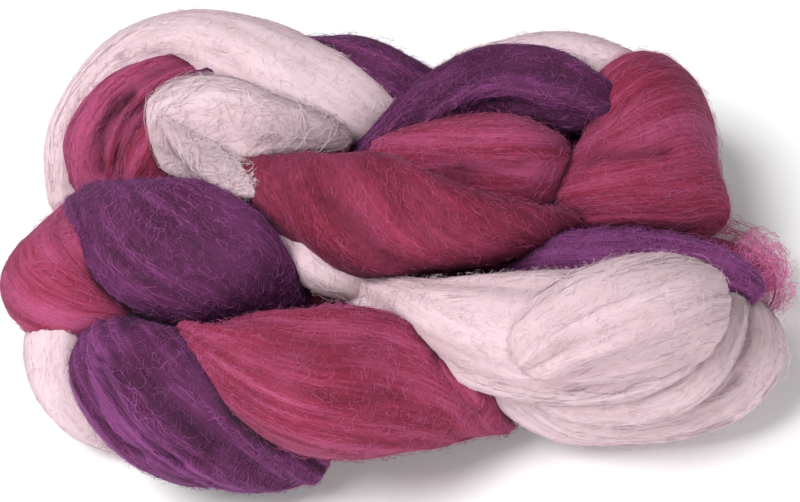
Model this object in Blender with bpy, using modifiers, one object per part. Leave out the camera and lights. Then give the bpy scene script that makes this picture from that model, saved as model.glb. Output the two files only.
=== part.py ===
"""A hank of combed wool roving: three dyed slivers, pink, raspberry and purple, twisted into one thick
rope and laid up in three runs, back, middle and front, with a turn at the right and one at the left.
The hank is one solid of its wound form and main twists. Two torn-off sliver ends lie loose against it.
Metres, +Z up, standing on z = 0, with the middle of the hank's footprint at the origin."""

from collections import namedtuple

import bmesh
import bpy
import numpy as np

MM = 0.001

# Driving sizes, in millimetres.
SHIFT = (-0.26, 0.83, -1.5)  # brings the footprint's middle to the origin, and presses the wool flat
PITCH = 150.0  # length of rope in which a sliver goes once round it
STRANDS = 3
STRAND_OUT = 0.5  # a strand's distance from the rope's middle, as a share of the rope's radius
STRAND_WIDE, STRAND_DEEP = 0.82, 0.5  # its half width and half depth, as shares of that radius
SQUARENESS = 0.85  # 1 is an ellipse and less is fuller at the shoulders
ROOT_DEPTH = 1.6  # how much deeper a lay is on its inner side than on its outer side
CLEARANCE = 0.5  # left round each loose end
VOXEL = 2.4  # cell in which the lays grow together
EASE_PASSES = 2  # times the joined skin is smoothed
KEPT_FACES = 0.15  # share of the joined skin's faces that is kept
EVENING_PASSES = 6  # times a lay's outward directions are averaged with their neighbours
TIP_SIZES = (0.45, 0.85)  # a lay's last section and the one before it, as shares of their rows
LAY_RINGS, LAY_SIDES = 20, 16
ROPE_RINGS, ROPE_SIDES = 130, 20
FLOOR_BLOCK = (400.0, 300.0, 60.0)
SMALLEST = 0.3  # no section is thinner than this

PINK, RASPBERRY, PURPLE = "pink", "raspberry", "purple"
DYES = {
    PINK: (0.81, 0.63, 0.67),
    RASPBERRY: (0.38, 0.032, 0.09),
    PURPLE: (0.13, 0.020, 0.12),
}
WOOL_ROUGHNESS = 0.95

# The lines that the lays are wrapped round: a lay's outer side faces away from its line.
CORES = {
    "back run": ((-85, 50, 22), (70, 50, 24)),
    "middle run": ((-85, 0, 24), (70, 5, 28)),
    "front run": ((-85, -50, 20), (85, -46, 22)),
    "right turn": ((66, 0, 14), (66, 52, 14)),
    "left turn": ((-86, -45, 18), (-86, 0, 18)),
    "front rim": ((0, -30, 14), (90, -28, 14)),
    "loose end": ((-85, 55, 15), (-10, 50, 15)),
    "right end": ((92, -10, -12), (92, 30, -12)),
}

# The rope's middle line from the left end of the back run to the right end of the front run.
# Columns: x, y, z, radius.
ROPE = (
    (-82, 34, 18, 18),
    (-60, 46, 20, 21),
    (-20, 48, 22, 22),
    (12, 42, 22, 22),
    (42, 46, 22, 22),
    (60, 42, 21, 21),
    (70, 26, 21, 20),
    (56, 6, 24, 22),
    (20, 0, 26, 25),
    (-30, -2, 26, 25),
    (-64, -6, 25, 23),
    (-80, -27, 21, 20),
    (-66, -43, 21, 21),
    (-36, -44, 22, 23),
    (5, -36, 21, 22),
    (45, -32, 20, 20),
    (70, -31, 20, 20),
    (90, -28, 16, 15),
)

# Each lay is one stretch of a sliver where it comes to the surface of the rope. Its two ends dive
# into the rope. Columns: x, y, z, half width, half depth.
Lay = namedtuple("Lay", "dye core rows")
LAYS = {
    "pink_upper_arc": Lay(PINK, "back run", (
        (-100, 29, 8, 7, 7),
        (-101, 35, 16, 8, 8),
        (-100, 45, 26, 9, 9),
        (-93, 56, 34, 10, 10),
        (-82, 63, 40, 12, 12),
        (-65, 66, 44, 13, 13),
        (-46, 60, 46, 15, 13),
        (-29, 51, 45, 16, 13),
        (-15, 44, 42, 13, 11),
        (-2, 45, 34, 8, 8),
        (9, 51, 18, 5, 5),
    )),
    "raspberry_crescent": Lay(RASPBERRY, "back run", (
        (-89, 30, 10, 9, 8),
        (-91, 34, 22, 12, 9),
        (-90, 39, 34, 13, 10),
        (-84, 46, 40, 12, 10),
        (-73, 51, 44, 10, 10),
        (-61, 56, 42, 7, 9),
        (-46, 56, 34, 6, 7),
    )),
    "raspberry_inner": Lay(RASPBERRY, "back run", (
        (-76, 22, 24, 8, 7),
        (-73, 24, 38, 11, 9),
        (-66, 30, 44, 12, 9),
        (-55, 37, 45, 12, 9),
        (-39, 40, 44, 10, 9),
        (-27, 42, 36, 7, 7),
    )),
    "purple_inner": Lay(PURPLE, "back run", (
        (-71, 47, 30, 6, 6),
        (-61, 54, 40, 8, 8),
        (-55, 54, 46, 8, 8),
        (-42, 58, 34, 6, 6),
    )),
    "purple_back_crossing": Lay(PURPLE, "back run", (
        (-66, 60, 6, 8, 7),
        (-55, 68, 15, 11, 9),
        (-39, 71, 27, 11, 10),
        (-23, 66, 38, 10, 10),
        (-12, 60, 44, 10, 10),
        (0, 53, 44, 9, 10),
        (12, 51, 36, 8, 9),
        (22, 46, 26, 6, 6),
    )),
    "raspberry_back_left": Lay(RASPBERRY, "back run", (
        (-98, 46, 8, 8, 7),
        (-86, 60, 14, 11, 9),
        (-70, 70, 22, 13, 9),
        (-52, 70, 32, 11, 9),
        (-38, 60, 36, 7, 7),
    )),
    "raspberry_back_middle": Lay(RASPBERRY, "back run", (
        (-38, 58, 6, 8, 7),
        (-24, 67, 14, 12, 9),
        (-8, 65, 25, 12, 9),
        (4, 57, 34, 10, 9),
        (14, 46, 36, 7, 7),
    )),
    "purple_back_right": Lay(PURPLE, "back run", (
        (22, 58, 6, 8, 7),
        (36, 67, 13, 12, 9),
        (52, 69, 23, 12, 9),
        (66, 63, 33, 10, 9),
        (76, 50, 34, 7, 7),
    )),
    "raspberry_back_right": Lay(RASPBERRY, "back run", (
        (56, 56, 6, 8, 7),
        (68, 62, 12, 12, 9),
        (80, 58, 20, 13, 10),
        (86, 46, 26, 10, 9),
    )),
    "purple_top_crossing": Lay(PURPLE, "back run", (
        (-16, 30, 34, 4, 4),
        (-7, 30, 44, 5, 6),
        (4, 34, 50, 8, 8),
        (17, 41, 54, 9, 9),
        (30, 44, 57, 10, 10),
        (45, 41, 57, 11, 10),
        (58, 37, 54, 8, 9),
        (66, 41, 44, 5, 7),
        (74, 47, 28, 4, 5),
    )),
    "pink_top_right": Lay(PINK, "back run", (
        (-8, 58, 6, 8, 7),
        (4, 65, 14, 11, 9),
        (17, 66, 26, 10, 9),
        (28, 63, 38, 9, 9),
        (42, 63, 43, 9, 10),
        (58, 59, 46, 9, 10),
        (70, 53, 46, 7, 9),
        (77, 54, 36, 6, 8),
        (72, 38, 22, 6, 7),
    )),
    "raspberry_turn_right": Lay(RASPBERRY, "right turn", (
        (48, 20, 34, 8, 6),
        (59, 14, 46, 17, 11),
        (71, 19, 48, 25, 13),
        (82, 30, 43, 31, 13),
        (86, 30, 30, 28, 11),
        (84, 30, 12, 21, 9),
    )),
    "raspberry_centre": Lay(RASPBERRY, "middle run", (
        (-6, 26, 42, 6, 6),
        (4, 20, 52, 9, 8),
        (18, 18, 56, 11, 10),
        (32, 17, 56, 12, 11),
        (42, 20, 48, 10, 10),
        (49, 27, 34, 6, 7),
    )),
    "raspberry_middle": Lay(RASPBERRY, "middle run", (
        (-50, 18, 44, 8, 7),
        (-40, 7, 52, 11, 9),
        (-26, -1, 57, 14, 11),
        (-10, -9, 60, 18, 13),
        (6, -13, 60, 15, 13),
        (22, -14, 58, 11, 12),
        (37, -9, 52, 7, 10),
        (48, -2, 44, 5, 7),
        (60, 6, 30, 4, 5),
    )),
    "purple_middle_left": Lay(PURPLE, "middle run", (
        (-96, 13, 34, 6, 6),
        (-88, 2, 44, 12, 10),
        (-77, -10, 50, 19, 12),
        (-63, -18, 53, 21, 13),
        (-50, -21, 51, 18, 13),
        (-41, -21, 44, 12, 11),
        (-33, -19, 35, 7, 8),
        (-27, -16, 25, 4, 5),
    )),
    "raspberry_turn_left": Lay(RASPBERRY, "left turn", (
        (-94, 20, 26, 5, 5),
        (-100, 1, 36, 10, 8),
        (-103, -16, 40, 17, 11),
        (-96, -27, 39, 14, 10),
        (-85, -29, 34, 8, 8),
        (-75, -25, 28, 4, 5),
        (-67, -20, 22, 3, 3),
    )),
    "pink_middle": Lay(PINK, "middle run", (
        (-44, 11, 34, 6, 6),
        (-30, -9, 43, 9, 9),
        (-20, -18, 45, 9, 9),
        (-11, -18, 39, 7, 8),
        (-1, -15, 28, 5, 5),
    )),
    "purple_middle_right": Lay(PURPLE, "middle run", (
        (21, -13, 32, 6, 6),
        (35, -15, 44, 8, 8),
        (53, -16, 47, 8, 9),
        (71, -16, 47, 8, 9),
        (88, -17, 44, 8, 9),
        (99, -17, 38, 6, 8),
        (104, -17, 30, 5, 6),
    )),
    "pink_turn_left": Lay(PINK, "left turn", (
        (-99, -19, 26, 8, 8),
        (-101, -35, 32, 12, 9),
        (-99, -43, 28, 12, 10),
        (-93, -49, 20, 11, 10),
        (-84, -51, 12, 8, 8),
        (-75, -54, 8, 6, 6),
    )),
    "purple_front_left": Lay(PURPLE, "front run", (
        (-86, -19, 18, 6, 6),
        (-83, -39, 34, 13, 10),
        (-76, -54, 42, 19, 12),
        (-65, -63, 40, 21, 13),
        (-49, -66, 30, 18.5, 13),
        (-34, -65, 19, 13, 11),
        (-22, -63, 10, 7, 6),
    )),
    "raspberry_front": Lay(RASPBERRY, "front run", (
        (-66, -42, 43, 3, 4),
        (-56, -51, 49, 7, 8),
        (-44, -57, 51, 15, 12),
        (-27, -62, 50, 21, 14),
        (-9, -59, 43, 22, 14),
        (9, -56, 33, 16, 12),
        (23, -53, 22, 9, 8),
        (34, -49, 11, 4, 4),
    )),
    "pink_front": Lay(PINK, "front run", (
        (-15, -19, 36, 4, 4),
        (-1, -31, 46, 6, 7),
        (13, -41, 52, 12, 10),
        (30, -46, 54, 17, 13),
        (49, -48, 55, 19, 14),
        (65, -45, 54, 19, 14),
        (78, -37, 46, 17, 12),
        (86, -29, 33, 11, 10),
        (89, -21, 18, 7, 7),
    )),
    "pink_front_rim": Lay(PINK, "front rim", (
        (97, -9, 22, 5, 5),
        (103, -24, 26, 8, 8),
        (104, -33, 24, 9, 10),
        (98, -40, 20, 10, 11),
        (84, -44, 17, 11, 12),
        (66, -46, 16, 11, 12),
        (49, -48, 20, 11, 12),
        (34, -46, 28, 11, 11),
        (20, -41, 36, 10, 10),
        (7, -34, 42, 7, 8),
        (-4, -25, 38, 3, 5),
    )),
}

# The torn-off ends, which lie loose on the hank and beside it. The same columns.
LOOSE_ENDS = {
    "pink_loose_end": Lay(PINK, "loose end", (
        (-14, 28, 48, 2, 3),
        (-25, 26, 54, 6, 4),
        (-37, 27, 57, 9, 5),
        (-48, 23, 58, 15, 5),
        (-59, 26, 57, 15.5, 5),
        (-68, 26, 54, 13, 5),
        (-74, 24, 51, 8, 4),
    )),
    "raspberry_loose_end": Lay(RASPBERRY, "right end", (
        (91, 10, 22, 6, 6),
        (100, 10, 18, 8, 8),
        (109, 7, 12, 9, 9),
        (114, 2, 8, 7, 7),
    )),
}


def clear_scene():
    """Removes what a new file starts with."""
    for thing in list(bpy.data.objects):
        bpy.data.objects.remove(thing, do_unlink=True)


def collection(name):
    made = bpy.data.collections.new(name)
    bpy.context.scene.collection.children.link(made)
    return made


def wool(dye):
    """A plain dyed wool material."""
    made = bpy.data.materials.new(f"{dye}_wool")
    made.use_nodes = True
    shader = made.node_tree.nodes["Principled BSDF"]
    shader.inputs["Base Color"].default_value = (*DYES[dye], 1.0)
    shader.inputs["Roughness"].default_value = WOOL_ROUGHNESS
    shader.inputs["Metallic"].default_value = 0.0
    made.diffuse_color = (*DYES[dye], 1.0)
    return made


def unit(vectors):
    """The same vectors at length 1."""
    return vectors / np.linalg.norm(vectors, axis=-1, keepdims=True)


def square_to(vectors, along):
    """The part of each vector that is square to the direction beside it, at length 1."""
    return unit(vectors - (vectors * along).sum(-1, keepdims=True) * along)


def smooth_rows(rows, count):
    """A table's rows read at count even steps of its length, on cubics whose slope at each row is
    the mean of the slopes on its two sides, each weighted by the other side's length."""
    table = np.array(rows, float)
    steps = np.linalg.norm(np.diff(table[:, :3], axis=0), axis=1)
    at = np.concatenate([[0.0], np.cumsum(steps)])
    chords = np.diff(table, axis=0) / steps[:, None]
    both = (steps[1:] + steps[:-1])[:, None]
    middle = (chords[:-1] * steps[1:, None] + chords[1:] * steps[:-1, None]) / both
    slopes = np.concatenate([chords[:1], middle, chords[-1:]])
    wanted = np.linspace(0.0, at[-1], count)
    i = np.clip(np.searchsorted(at, wanted, side="right") - 1, 0, len(table) - 2)
    long = steps[i][:, None]
    s = (wanted - at[i])[:, None] / long
    return (
        table[i] * (2 * s**3 - 3 * s**2 + 1)
        + slopes[i] * long * (s**3 - 2 * s**2 + s)
        + table[i + 1] * (3 * s**2 - 2 * s**3)
        + slopes[i + 1] * long * (s**3 - s**2)
    )


def facing(middles, along, core):
    """The outward direction of each section: away from the nearest point of the core line, evened
    out along the lay."""
    start, end = (np.array(point, float) for point in core)
    share = np.clip((middles - start) @ (end - start) / ((end - start) @ (end - start)), 0.0, 1.0)
    outward = square_to(middles - start - share[:, None] * (end - start), along)
    for _ in range(EVENING_PASSES):
        outward[1:-1] = outward[:-2] + 2 * outward[1:-1] + outward[2:]
        outward = square_to(outward, along)
    return outward


def round_profile(sides):
    """The two coordinates of a full round section, between an ellipse and a rounded box."""
    turn = np.linspace(0.0, 2 * np.pi, sides, endpoint=False)
    wide, deep = np.cos(turn), np.sin(turn)
    return np.sign(wide) * np.abs(wide) ** SQUARENESS, np.sign(deep) * np.abs(deep) ** SQUARENESS


def closed_tube(target, rings):
    """Adds rings of points to a bmesh as one closed tube with a flat cap at each end."""
    sides = rings.shape[1]
    points = (rings + SHIFT) * MM
    made = [[target.verts.new(point) for point in ring] for ring in points]
    for a, b in zip(made[:-1], made[1:]):
        for k in range(sides):
            target.faces.new((a[k], b[k], b[(k + 1) % sides], a[(k + 1) % sides]))
    target.faces.new(made[0])
    target.faces.new(made[-1][::-1])


def lay_rings(lay, grown=0.0):
    """The rings of one lay: a full round section at each step, wider across than it is deep, deeper
    on its inner side, and drawn in to a blunt point over the first and last steps."""
    table = smooth_rows(lay.rows, LAY_RINGS)
    middles = table[:, :3]
    half_wide, half_deep = (np.maximum(table[:, 3:], SMALLEST) + grown).T
    along = unit(np.gradient(middles, axis=0))
    outward = facing(middles, along, CORES[lay.core])
    across = np.cross(along, outward)
    wide, deep = round_profile(LAY_SIDES)
    deep = np.where(deep < 0, ROOT_DEPTH * deep, deep)
    drawn = np.ones(LAY_RINGS)
    drawn[[0, -1]], drawn[[1, -2]] = TIP_SIZES
    middles = middles + along * grown * np.linspace(-1.0, 1.0, LAY_RINGS)[:, None]
    return (
        middles[:, None]
        + (drawn * half_wide)[:, None, None] * wide[None, :, None] * across[:, None]
        + (drawn * half_deep)[:, None, None] * deep[None, :, None] * outward[:, None]
    )


def strand_rings(number):
    """The rings of one of the rope's strands: its middle goes round the rope's middle line once in
    each PITCH, and its flat side faces outwards."""
    table = smooth_rows(ROPE, ROPE_RINGS)
    middles, radius = table[:, :3], table[:, 3:]
    along = unit(np.gradient(middles, axis=0))
    up = square_to(np.array([[0.0, 0.0, 1.0]]), along)
    side = np.cross(along, up)
    steps = np.linalg.norm(np.diff(middles, axis=0), axis=1)
    run = np.concatenate([[0.0], np.cumsum(steps)])
    turn = (2 * np.pi * (number / STRANDS - run / PITCH))[:, None]
    outward = np.cos(turn) * up + np.sin(turn) * side
    strand = middles + STRAND_OUT * radius * outward
    along = unit(np.gradient(strand, axis=0))
    outward = square_to(outward, along)
    across = np.cross(along, outward)
    angle = np.linspace(0.0, 2 * np.pi, ROPE_SIDES, endpoint=False)
    return (
        strand[:, None]
        + STRAND_WIDE * radius[:, None] * np.cos(angle)[None, :, None] * across[:, None]
        + STRAND_DEEP * radius[:, None] * np.sin(angle)[None, :, None] * outward[:, None]
    )


def tubes_object(name, tubes, material, target):
    """One object that holds the given tubes as closed bodies, faces outwards."""
    shape = bmesh.new()
    for rings in tubes:
        closed_tube(shape, rings)
    bmesh.ops.recalc_face_normals(shape, faces=shape.faces)
    mesh = bpy.data.meshes.new(name)
    shape.to_mesh(mesh)
    shape.free()
    if material:
        mesh.materials.append(material)
    made = bpy.data.objects.new(name, mesh)
    target.objects.link(made)
    return made


def as_cutter(thing):
    thing.hide_render = True
    thing.display_type = "WIRE"
    return thing


def floor_cutter(target):
    """The block under z = 0 that cuts the flat places on which the wool rests."""
    bpy.ops.mesh.primitive_cube_add(size=1.0)
    block = bpy.context.active_object
    block.name = "floor_cutter"
    for vertex in block.data.vertices:
        vertex.co = [c * side * MM for c, side in zip(vertex.co, FLOOR_BLOCK)]
        vertex.co.z -= FLOOR_BLOCK[2] * MM / 2
    for old in block.users_collection:
        old.objects.unlink(block)
    target.objects.link(block)
    return as_cutter(block)


def cut(thing, cutter):
    made = thing.modifiers.new(f"less_{cutter.name}", "BOOLEAN")
    made.operation = "DIFFERENCE"
    made.solver = "EXACT"
    made.object = cutter


def grow_together(thing):
    """Joins overlapping tubes into one closed skin of a few thousand faces."""
    joined = thing.modifiers.new("grow_together", "REMESH")
    joined.mode = "VOXEL"
    joined.voxel_size = VOXEL * MM
    joined.adaptivity = 0.0
    eased = thing.modifiers.new("ease", "SMOOTH")
    eased.factor = 0.5
    eased.iterations = EASE_PASSES
    fewer = thing.modifiers.new("fewer_faces", "DECIMATE")
    fewer.ratio = KEPT_FACES
    fewer.use_collapse_triangulate = True


def main():
    clear_scene()
    parts = collection("wool_roving_hank")
    cutters = collection("cutters")
    floor = floor_cutter(cutters)
    materials = {dye: wool(dye) for dye in DYES}

    tubes = [strand_rings(number) for number in range(STRANDS)]
    tubes += [lay_rings(lay) for lay in LAYS.values()]
    hank = tubes_object("roving_hank", tubes, materials[RASPBERRY], parts)
    grow_together(hank)
    cut(hank, floor)

    for name, lay in LOOSE_ENDS.items():
        end = tubes_object(name, [lay_rings(lay)], materials[lay.dye], parts)
        cut(end, floor)
        room = tubes_object(f"{name}_room", [lay_rings(lay, CLEARANCE)], None, cutters)
        cut(hank, as_cutter(room))


main()
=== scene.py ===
"""The looks of a hank of combed wool roving: three dyed slivers, pink, raspberry and purple, twisted
into a rope and laid up in three runs, with two fluffy torn-off ends.

Each lay of a sliver is a skin with fibre ridges, and thousands of thin ribbons lie on it as strands,
frizz and flyaways. All of them are placed by one form: a share of a lay's length and a turn round it.
Tables and constants are in millimetres and degrees unless they say otherwise, and meshes are in
metres, on the frame of the solids.
"""

from collections import namedtuple

import bpy
import numpy as np
from bpy.props import FloatProperty, FloatVectorProperty, PointerProperty
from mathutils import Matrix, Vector


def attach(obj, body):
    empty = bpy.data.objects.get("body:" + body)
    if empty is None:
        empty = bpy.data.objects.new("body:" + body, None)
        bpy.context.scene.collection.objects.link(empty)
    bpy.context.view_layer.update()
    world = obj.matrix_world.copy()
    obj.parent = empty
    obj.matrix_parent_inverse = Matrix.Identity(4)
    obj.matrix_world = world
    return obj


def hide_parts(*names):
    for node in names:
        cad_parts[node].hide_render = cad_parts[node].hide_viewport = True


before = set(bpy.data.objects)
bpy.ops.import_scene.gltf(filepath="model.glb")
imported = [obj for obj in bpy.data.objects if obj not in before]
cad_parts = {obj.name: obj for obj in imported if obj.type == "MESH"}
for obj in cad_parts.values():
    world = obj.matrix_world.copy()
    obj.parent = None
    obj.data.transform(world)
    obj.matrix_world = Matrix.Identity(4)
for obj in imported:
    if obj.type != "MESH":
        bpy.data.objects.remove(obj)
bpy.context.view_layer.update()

bl_info = {
    "name": "Wool Roving Hank",
    "version": (1, 0, 0),
    "blender": (4, 5, 0),
    "location": "View3D > Sidebar > Roving",
    "description": "Skins, strands, frizz and loose ends of a hank of dyed wool roving",
    "category": "Add Mesh",
}

MM = 0.001
HANK = "roving_hank"

# The hank's form, as in its solids.
SHIFT = (-0.26, 0.83, -1.5)  # the whole hank is moved by this, so that it stands on its own middle
PITCH = 150.0  # length of rope in which a sliver goes once round it
STRAND_OUT = 0.5  # a rope strand's distance from the rope's middle, as a share of its radius
STRAND_WIDE, STRAND_DEEP = 0.82, 0.5  # its half width and half depth, as shares of that radius
SQUARENESS = 0.85  # 1 is an ellipse and less is fuller at the shoulders
ROOT_DEPTH = 1.6  # how much deeper a lay is on its inner side than on its outer side
EVENING_PASSES = 216  # times a lay's outward directions are averaged with their neighbours
END_SHARE = 0.05  # the share of a lay's length over which each end is rounded
POINTED = 0.02  # the size of a lay's last section, as a share of its full size
SMALLEST = 0.3  # no section is thinner than this
STATIONS = 121  # places along a lay where its section is known

PINK, RASPBERRY, PURPLE = "pink", "raspberry", "purple"

# The lines that the lays are wrapped round: a lay's outer side faces away from its line.
CORES = {
    "back run": ((-85, 50, 22), (70, 50, 24)),
    "middle run": ((-85, 0, 24), (70, 5, 28)),
    "front run": ((-85, -50, 20), (85, -46, 22)),
    "right turn": ((66, 0, 14), (66, 52, 14)),
    "left turn": ((-86, -45, 18), (-86, 0, 18)),
    "front rim": ((0, -30, 14), (90, -28, 14)),
    "loose end": ((-85, 55, 15), (-10, 50, 15)),
    "right end": ((92, -10, -12), (92, 30, -12)),
}

# The rope's middle line from the left end of the back run to the right end of the front run.
# Columns: x, y, z, radius.
ROPE = (
    (-82, 34, 18, 18), (-60, 46, 20, 21), (-20, 48, 22, 22), (12, 42, 22, 22), (42, 46, 22, 22),
    (60, 42, 21, 21), (70, 26, 21, 20), (56, 6, 24, 22), (20, 0, 26, 25), (-30, -2, 26, 25),
    (-64, -6, 25, 23), (-80, -27, 21, 20), (-66, -43, 21, 21), (-36, -44, 22, 23), (5, -36, 21, 22),
    (45, -32, 20, 20), (70, -31, 20, 20), (90, -28, 16, 15),
)

# Each lay is one stretch of a sliver where it comes to the surface of the rope. Columns of its rows:
# x, y, z, half width, half depth. lean is how far its fibres run askew, in degrees, at its start and
# at its end, and locks is how deep its ridges are.
Lay = namedtuple("Lay", "dye core rows lean locks", defaults=((0, 0), 1.0))
LAYS = {
    "pink_upper_arc": Lay(PINK, "back run", (
        (-100, 29, 8, 7, 7), (-101, 35, 16, 8, 8), (-100, 45, 26, 9, 9), (-93, 56, 34, 10, 10),
        (-82, 63, 40, 12, 12), (-65, 66, 44, 13, 13), (-46, 60, 46, 15, 13), (-29, 51, 45, 16, 13),
        (-15, 44, 42, 13, 11), (-2, 45, 34, 8, 8), (9, 51, 18, 5, 5),
    )),
    "raspberry_crescent": Lay(RASPBERRY, "back run", (
        (-89, 30, 10, 9, 8), (-91, 34, 22, 12, 9), (-90, 39, 34, 13, 10), (-84, 46, 40, 12, 10),
        (-73, 51, 44, 10, 10), (-61, 56, 42, 7, 9), (-46, 56, 34, 6, 7),
    ), locks=1.5),
    "raspberry_inner": Lay(RASPBERRY, "back run", (
        (-76, 22, 24, 8, 7), (-73, 24, 38, 11, 9), (-66, 30, 44, 12, 9), (-55, 37, 45, 12, 9),
        (-39, 40, 44, 10, 9), (-27, 42, 36, 7, 7),
    )),
    "purple_inner": Lay(PURPLE, "back run", (
        (-71, 47, 30, 6, 6), (-61, 54, 40, 8, 8), (-55, 54, 46, 8, 8), (-42, 58, 34, 6, 6),
    )),
    "purple_back_crossing": Lay(PURPLE, "back run", (
        (-66, 60, 6, 8, 7), (-55, 68, 15, 11, 9), (-39, 71, 27, 11, 10), (-23, 66, 38, 10, 10),
        (-12, 60, 44, 10, 10), (0, 53, 44, 9, 10), (12, 51, 36, 8, 9), (22, 46, 26, 6, 6),
    )),
    "raspberry_back_left": Lay(RASPBERRY, "back run", (
        (-98, 46, 8, 8, 7), (-86, 60, 14, 11, 9), (-70, 70, 22, 13, 9), (-52, 70, 32, 11, 9),
        (-38, 60, 36, 7, 7),
    )),
    "raspberry_back_middle": Lay(RASPBERRY, "back run", (
        (-38, 58, 6, 8, 7), (-24, 67, 14, 12, 9), (-8, 65, 25, 12, 9), (4, 57, 34, 10, 9),
        (14, 46, 36, 7, 7),
    )),
    "purple_back_right": Lay(PURPLE, "back run", (
        (22, 58, 6, 8, 7), (36, 67, 13, 12, 9), (52, 69, 23, 12, 9), (66, 63, 33, 10, 9),
        (76, 50, 34, 7, 7),
    )),
    "raspberry_back_right": Lay(RASPBERRY, "back run", (
        (56, 56, 6, 8, 7), (68, 62, 12, 12, 9), (80, 58, 20, 13, 10), (86, 46, 26, 10, 9),
    )),
    "purple_top_crossing": Lay(PURPLE, "back run", (
        (-16, 30, 34, 4, 4), (-7, 30, 44, 5, 6), (4, 34, 50, 8, 8), (17, 41, 54, 9, 9),
        (30, 44, 57, 10, 10), (45, 41, 57, 11, 10), (58, 37, 54, 8, 9), (66, 41, 44, 5, 7),
        (74, 47, 28, 4, 5),
    )),
    "pink_top_right": Lay(PINK, "back run", (
        (-8, 58, 6, 8, 7), (4, 65, 14, 11, 9), (17, 66, 26, 10, 9), (28, 63, 38, 9, 9),
        (42, 63, 43, 9, 10), (58, 59, 46, 9, 10), (70, 53, 46, 7, 9), (77, 54, 36, 6, 8),
        (72, 38, 22, 6, 7),
    )),
    "raspberry_turn_right": Lay(RASPBERRY, "right turn", (
        (48, 20, 34, 8, 6), (59, 14, 46, 17, 11), (71, 19, 48, 25, 13), (82, 30, 43, 31, 13),
        (86, 30, 30, 28, 11), (84, 30, 12, 21, 9),
    ), locks=0.8),
    "raspberry_centre": Lay(RASPBERRY, "middle run", (
        (-6, 26, 42, 6, 6), (4, 20, 52, 9, 8), (18, 18, 56, 11, 10), (32, 17, 56, 12, 11),
        (42, 20, 48, 10, 10), (49, 27, 34, 6, 7),
    )),
    "raspberry_middle": Lay(RASPBERRY, "middle run", (
        (-50, 18, 44, 8, 7), (-40, 7, 52, 11, 9), (-26, -1, 57, 14, 11), (-10, -9, 60, 18, 13),
        (6, -13, 60, 15, 13), (22, -14, 58, 11, 12), (37, -9, 52, 7, 10), (48, -2, 44, 5, 7),
        (60, 6, 30, 4, 5),
    ), (-38, -30), 0.8),
    "purple_middle_left": Lay(PURPLE, "middle run", (
        (-96, 13, 34, 6, 6), (-88, 2, 44, 12, 10), (-77, -10, 50, 19, 12), (-63, -18, 53, 21, 13),
        (-50, -21, 51, 18, 13), (-41, -21, 44, 12, 11), (-33, -19, 35, 7, 8), (-27, -16, 25, 4, 5),
    ), (-18, -4), 0.6),
    "raspberry_turn_left": Lay(RASPBERRY, "left turn", (
        (-94, 20, 26, 5, 5), (-100, 1, 36, 10, 8), (-103, -16, 40, 17, 11), (-96, -27, 39, 14, 10),
        (-85, -29, 34, 8, 8), (-75, -25, 28, 4, 5), (-67, -20, 22, 3, 3),
    )),
    "pink_middle": Lay(PINK, "middle run", (
        (-44, 11, 34, 6, 6), (-30, -9, 43, 9, 9), (-20, -18, 45, 9, 9), (-11, -18, 39, 7, 8),
        (-1, -15, 28, 5, 5),
    )),
    "purple_middle_right": Lay(PURPLE, "middle run", (
        (21, -13, 32, 6, 6), (35, -15, 44, 8, 8), (53, -16, 47, 8, 9), (71, -16, 47, 8, 9),
        (88, -17, 44, 8, 9), (99, -17, 38, 6, 8), (104, -17, 30, 5, 6),
    )),
    "pink_turn_left": Lay(PINK, "left turn", (
        (-99, -19, 26, 8, 8), (-101, -35, 32, 12, 9), (-99, -43, 28, 12, 10), (-93, -49, 20, 11, 10),
        (-84, -51, 12, 8, 8), (-75, -54, 8, 6, 6),
    )),
    "purple_front_left": Lay(PURPLE, "front run", (
        (-86, -19, 18, 6, 6), (-83, -39, 34, 13, 10), (-76, -54, 42, 19, 12), (-65, -63, 40, 21, 13),
        (-49, -66, 30, 18.5, 13), (-34, -65, 19, 13, 11), (-22, -63, 10, 7, 6),
    ), locks=1.6),
    "raspberry_front": Lay(RASPBERRY, "front run", (
        (-66, -42, 43, 3, 4), (-56, -51, 49, 7, 8), (-44, -57, 51, 15, 12), (-27, -62, 50, 21, 14),
        (-9, -59, 43, 22, 14), (9, -56, 33, 16, 12), (23, -53, 22, 9, 8), (34, -49, 11, 4, 4),
    )),
    "pink_front": Lay(PINK, "front run", (
        (-15, -19, 36, 4, 4), (-1, -31, 46, 6, 7), (13, -41, 52, 12, 10), (30, -46, 54, 17, 13),
        (49, -48, 55, 19, 14), (65, -45, 54, 19, 14), (78, -37, 46, 17, 12), (86, -29, 33, 11, 10),
        (89, -21, 18, 7, 7),
    ), locks=1.2),
    "pink_front_rim": Lay(PINK, "front rim", (
        (97, -9, 22, 5, 5), (103, -24, 26, 8, 8), (104, -33, 24, 9, 10), (98, -40, 20, 10, 11),
        (84, -44, 17, 11, 12), (66, -46, 16, 11, 12), (49, -48, 20, 11, 12), (34, -46, 28, 11, 11),
        (20, -41, 36, 10, 10), (7, -34, 42, 7, 8), (-4, -25, 38, 3, 5),
    )),
}

# The torn-off ends, which lie loose on the hank and beside it. The pink one's rows are evened out
# from those of its solid, so that its wide sections don't cross in the bend.
LOOSE_ENDS = {
    "pink_loose_end": Lay(PINK, "loose end", (
        (-14.5, 27.5, 48, 2, 3), (-25.5, 26, 54, 6, 4), (-37.5, 25.5, 57, 9.5, 5),
        (-48.5, 25, 58, 14.5, 5), (-58.5, 25.5, 57, 16, 5), (-67, 26.5, 54.5, 15, 5),
        (-75, 27, 51, 10.5, 4),
    )),
    "raspberry_loose_end": Lay(RASPBERRY, "right end", (
        (91, 10, 22, 6, 6), (100, 10, 18, 8, 8), (109, 7, 12, 9, 9), (114, 2, 8, 7, 7),
    )),
}

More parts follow.
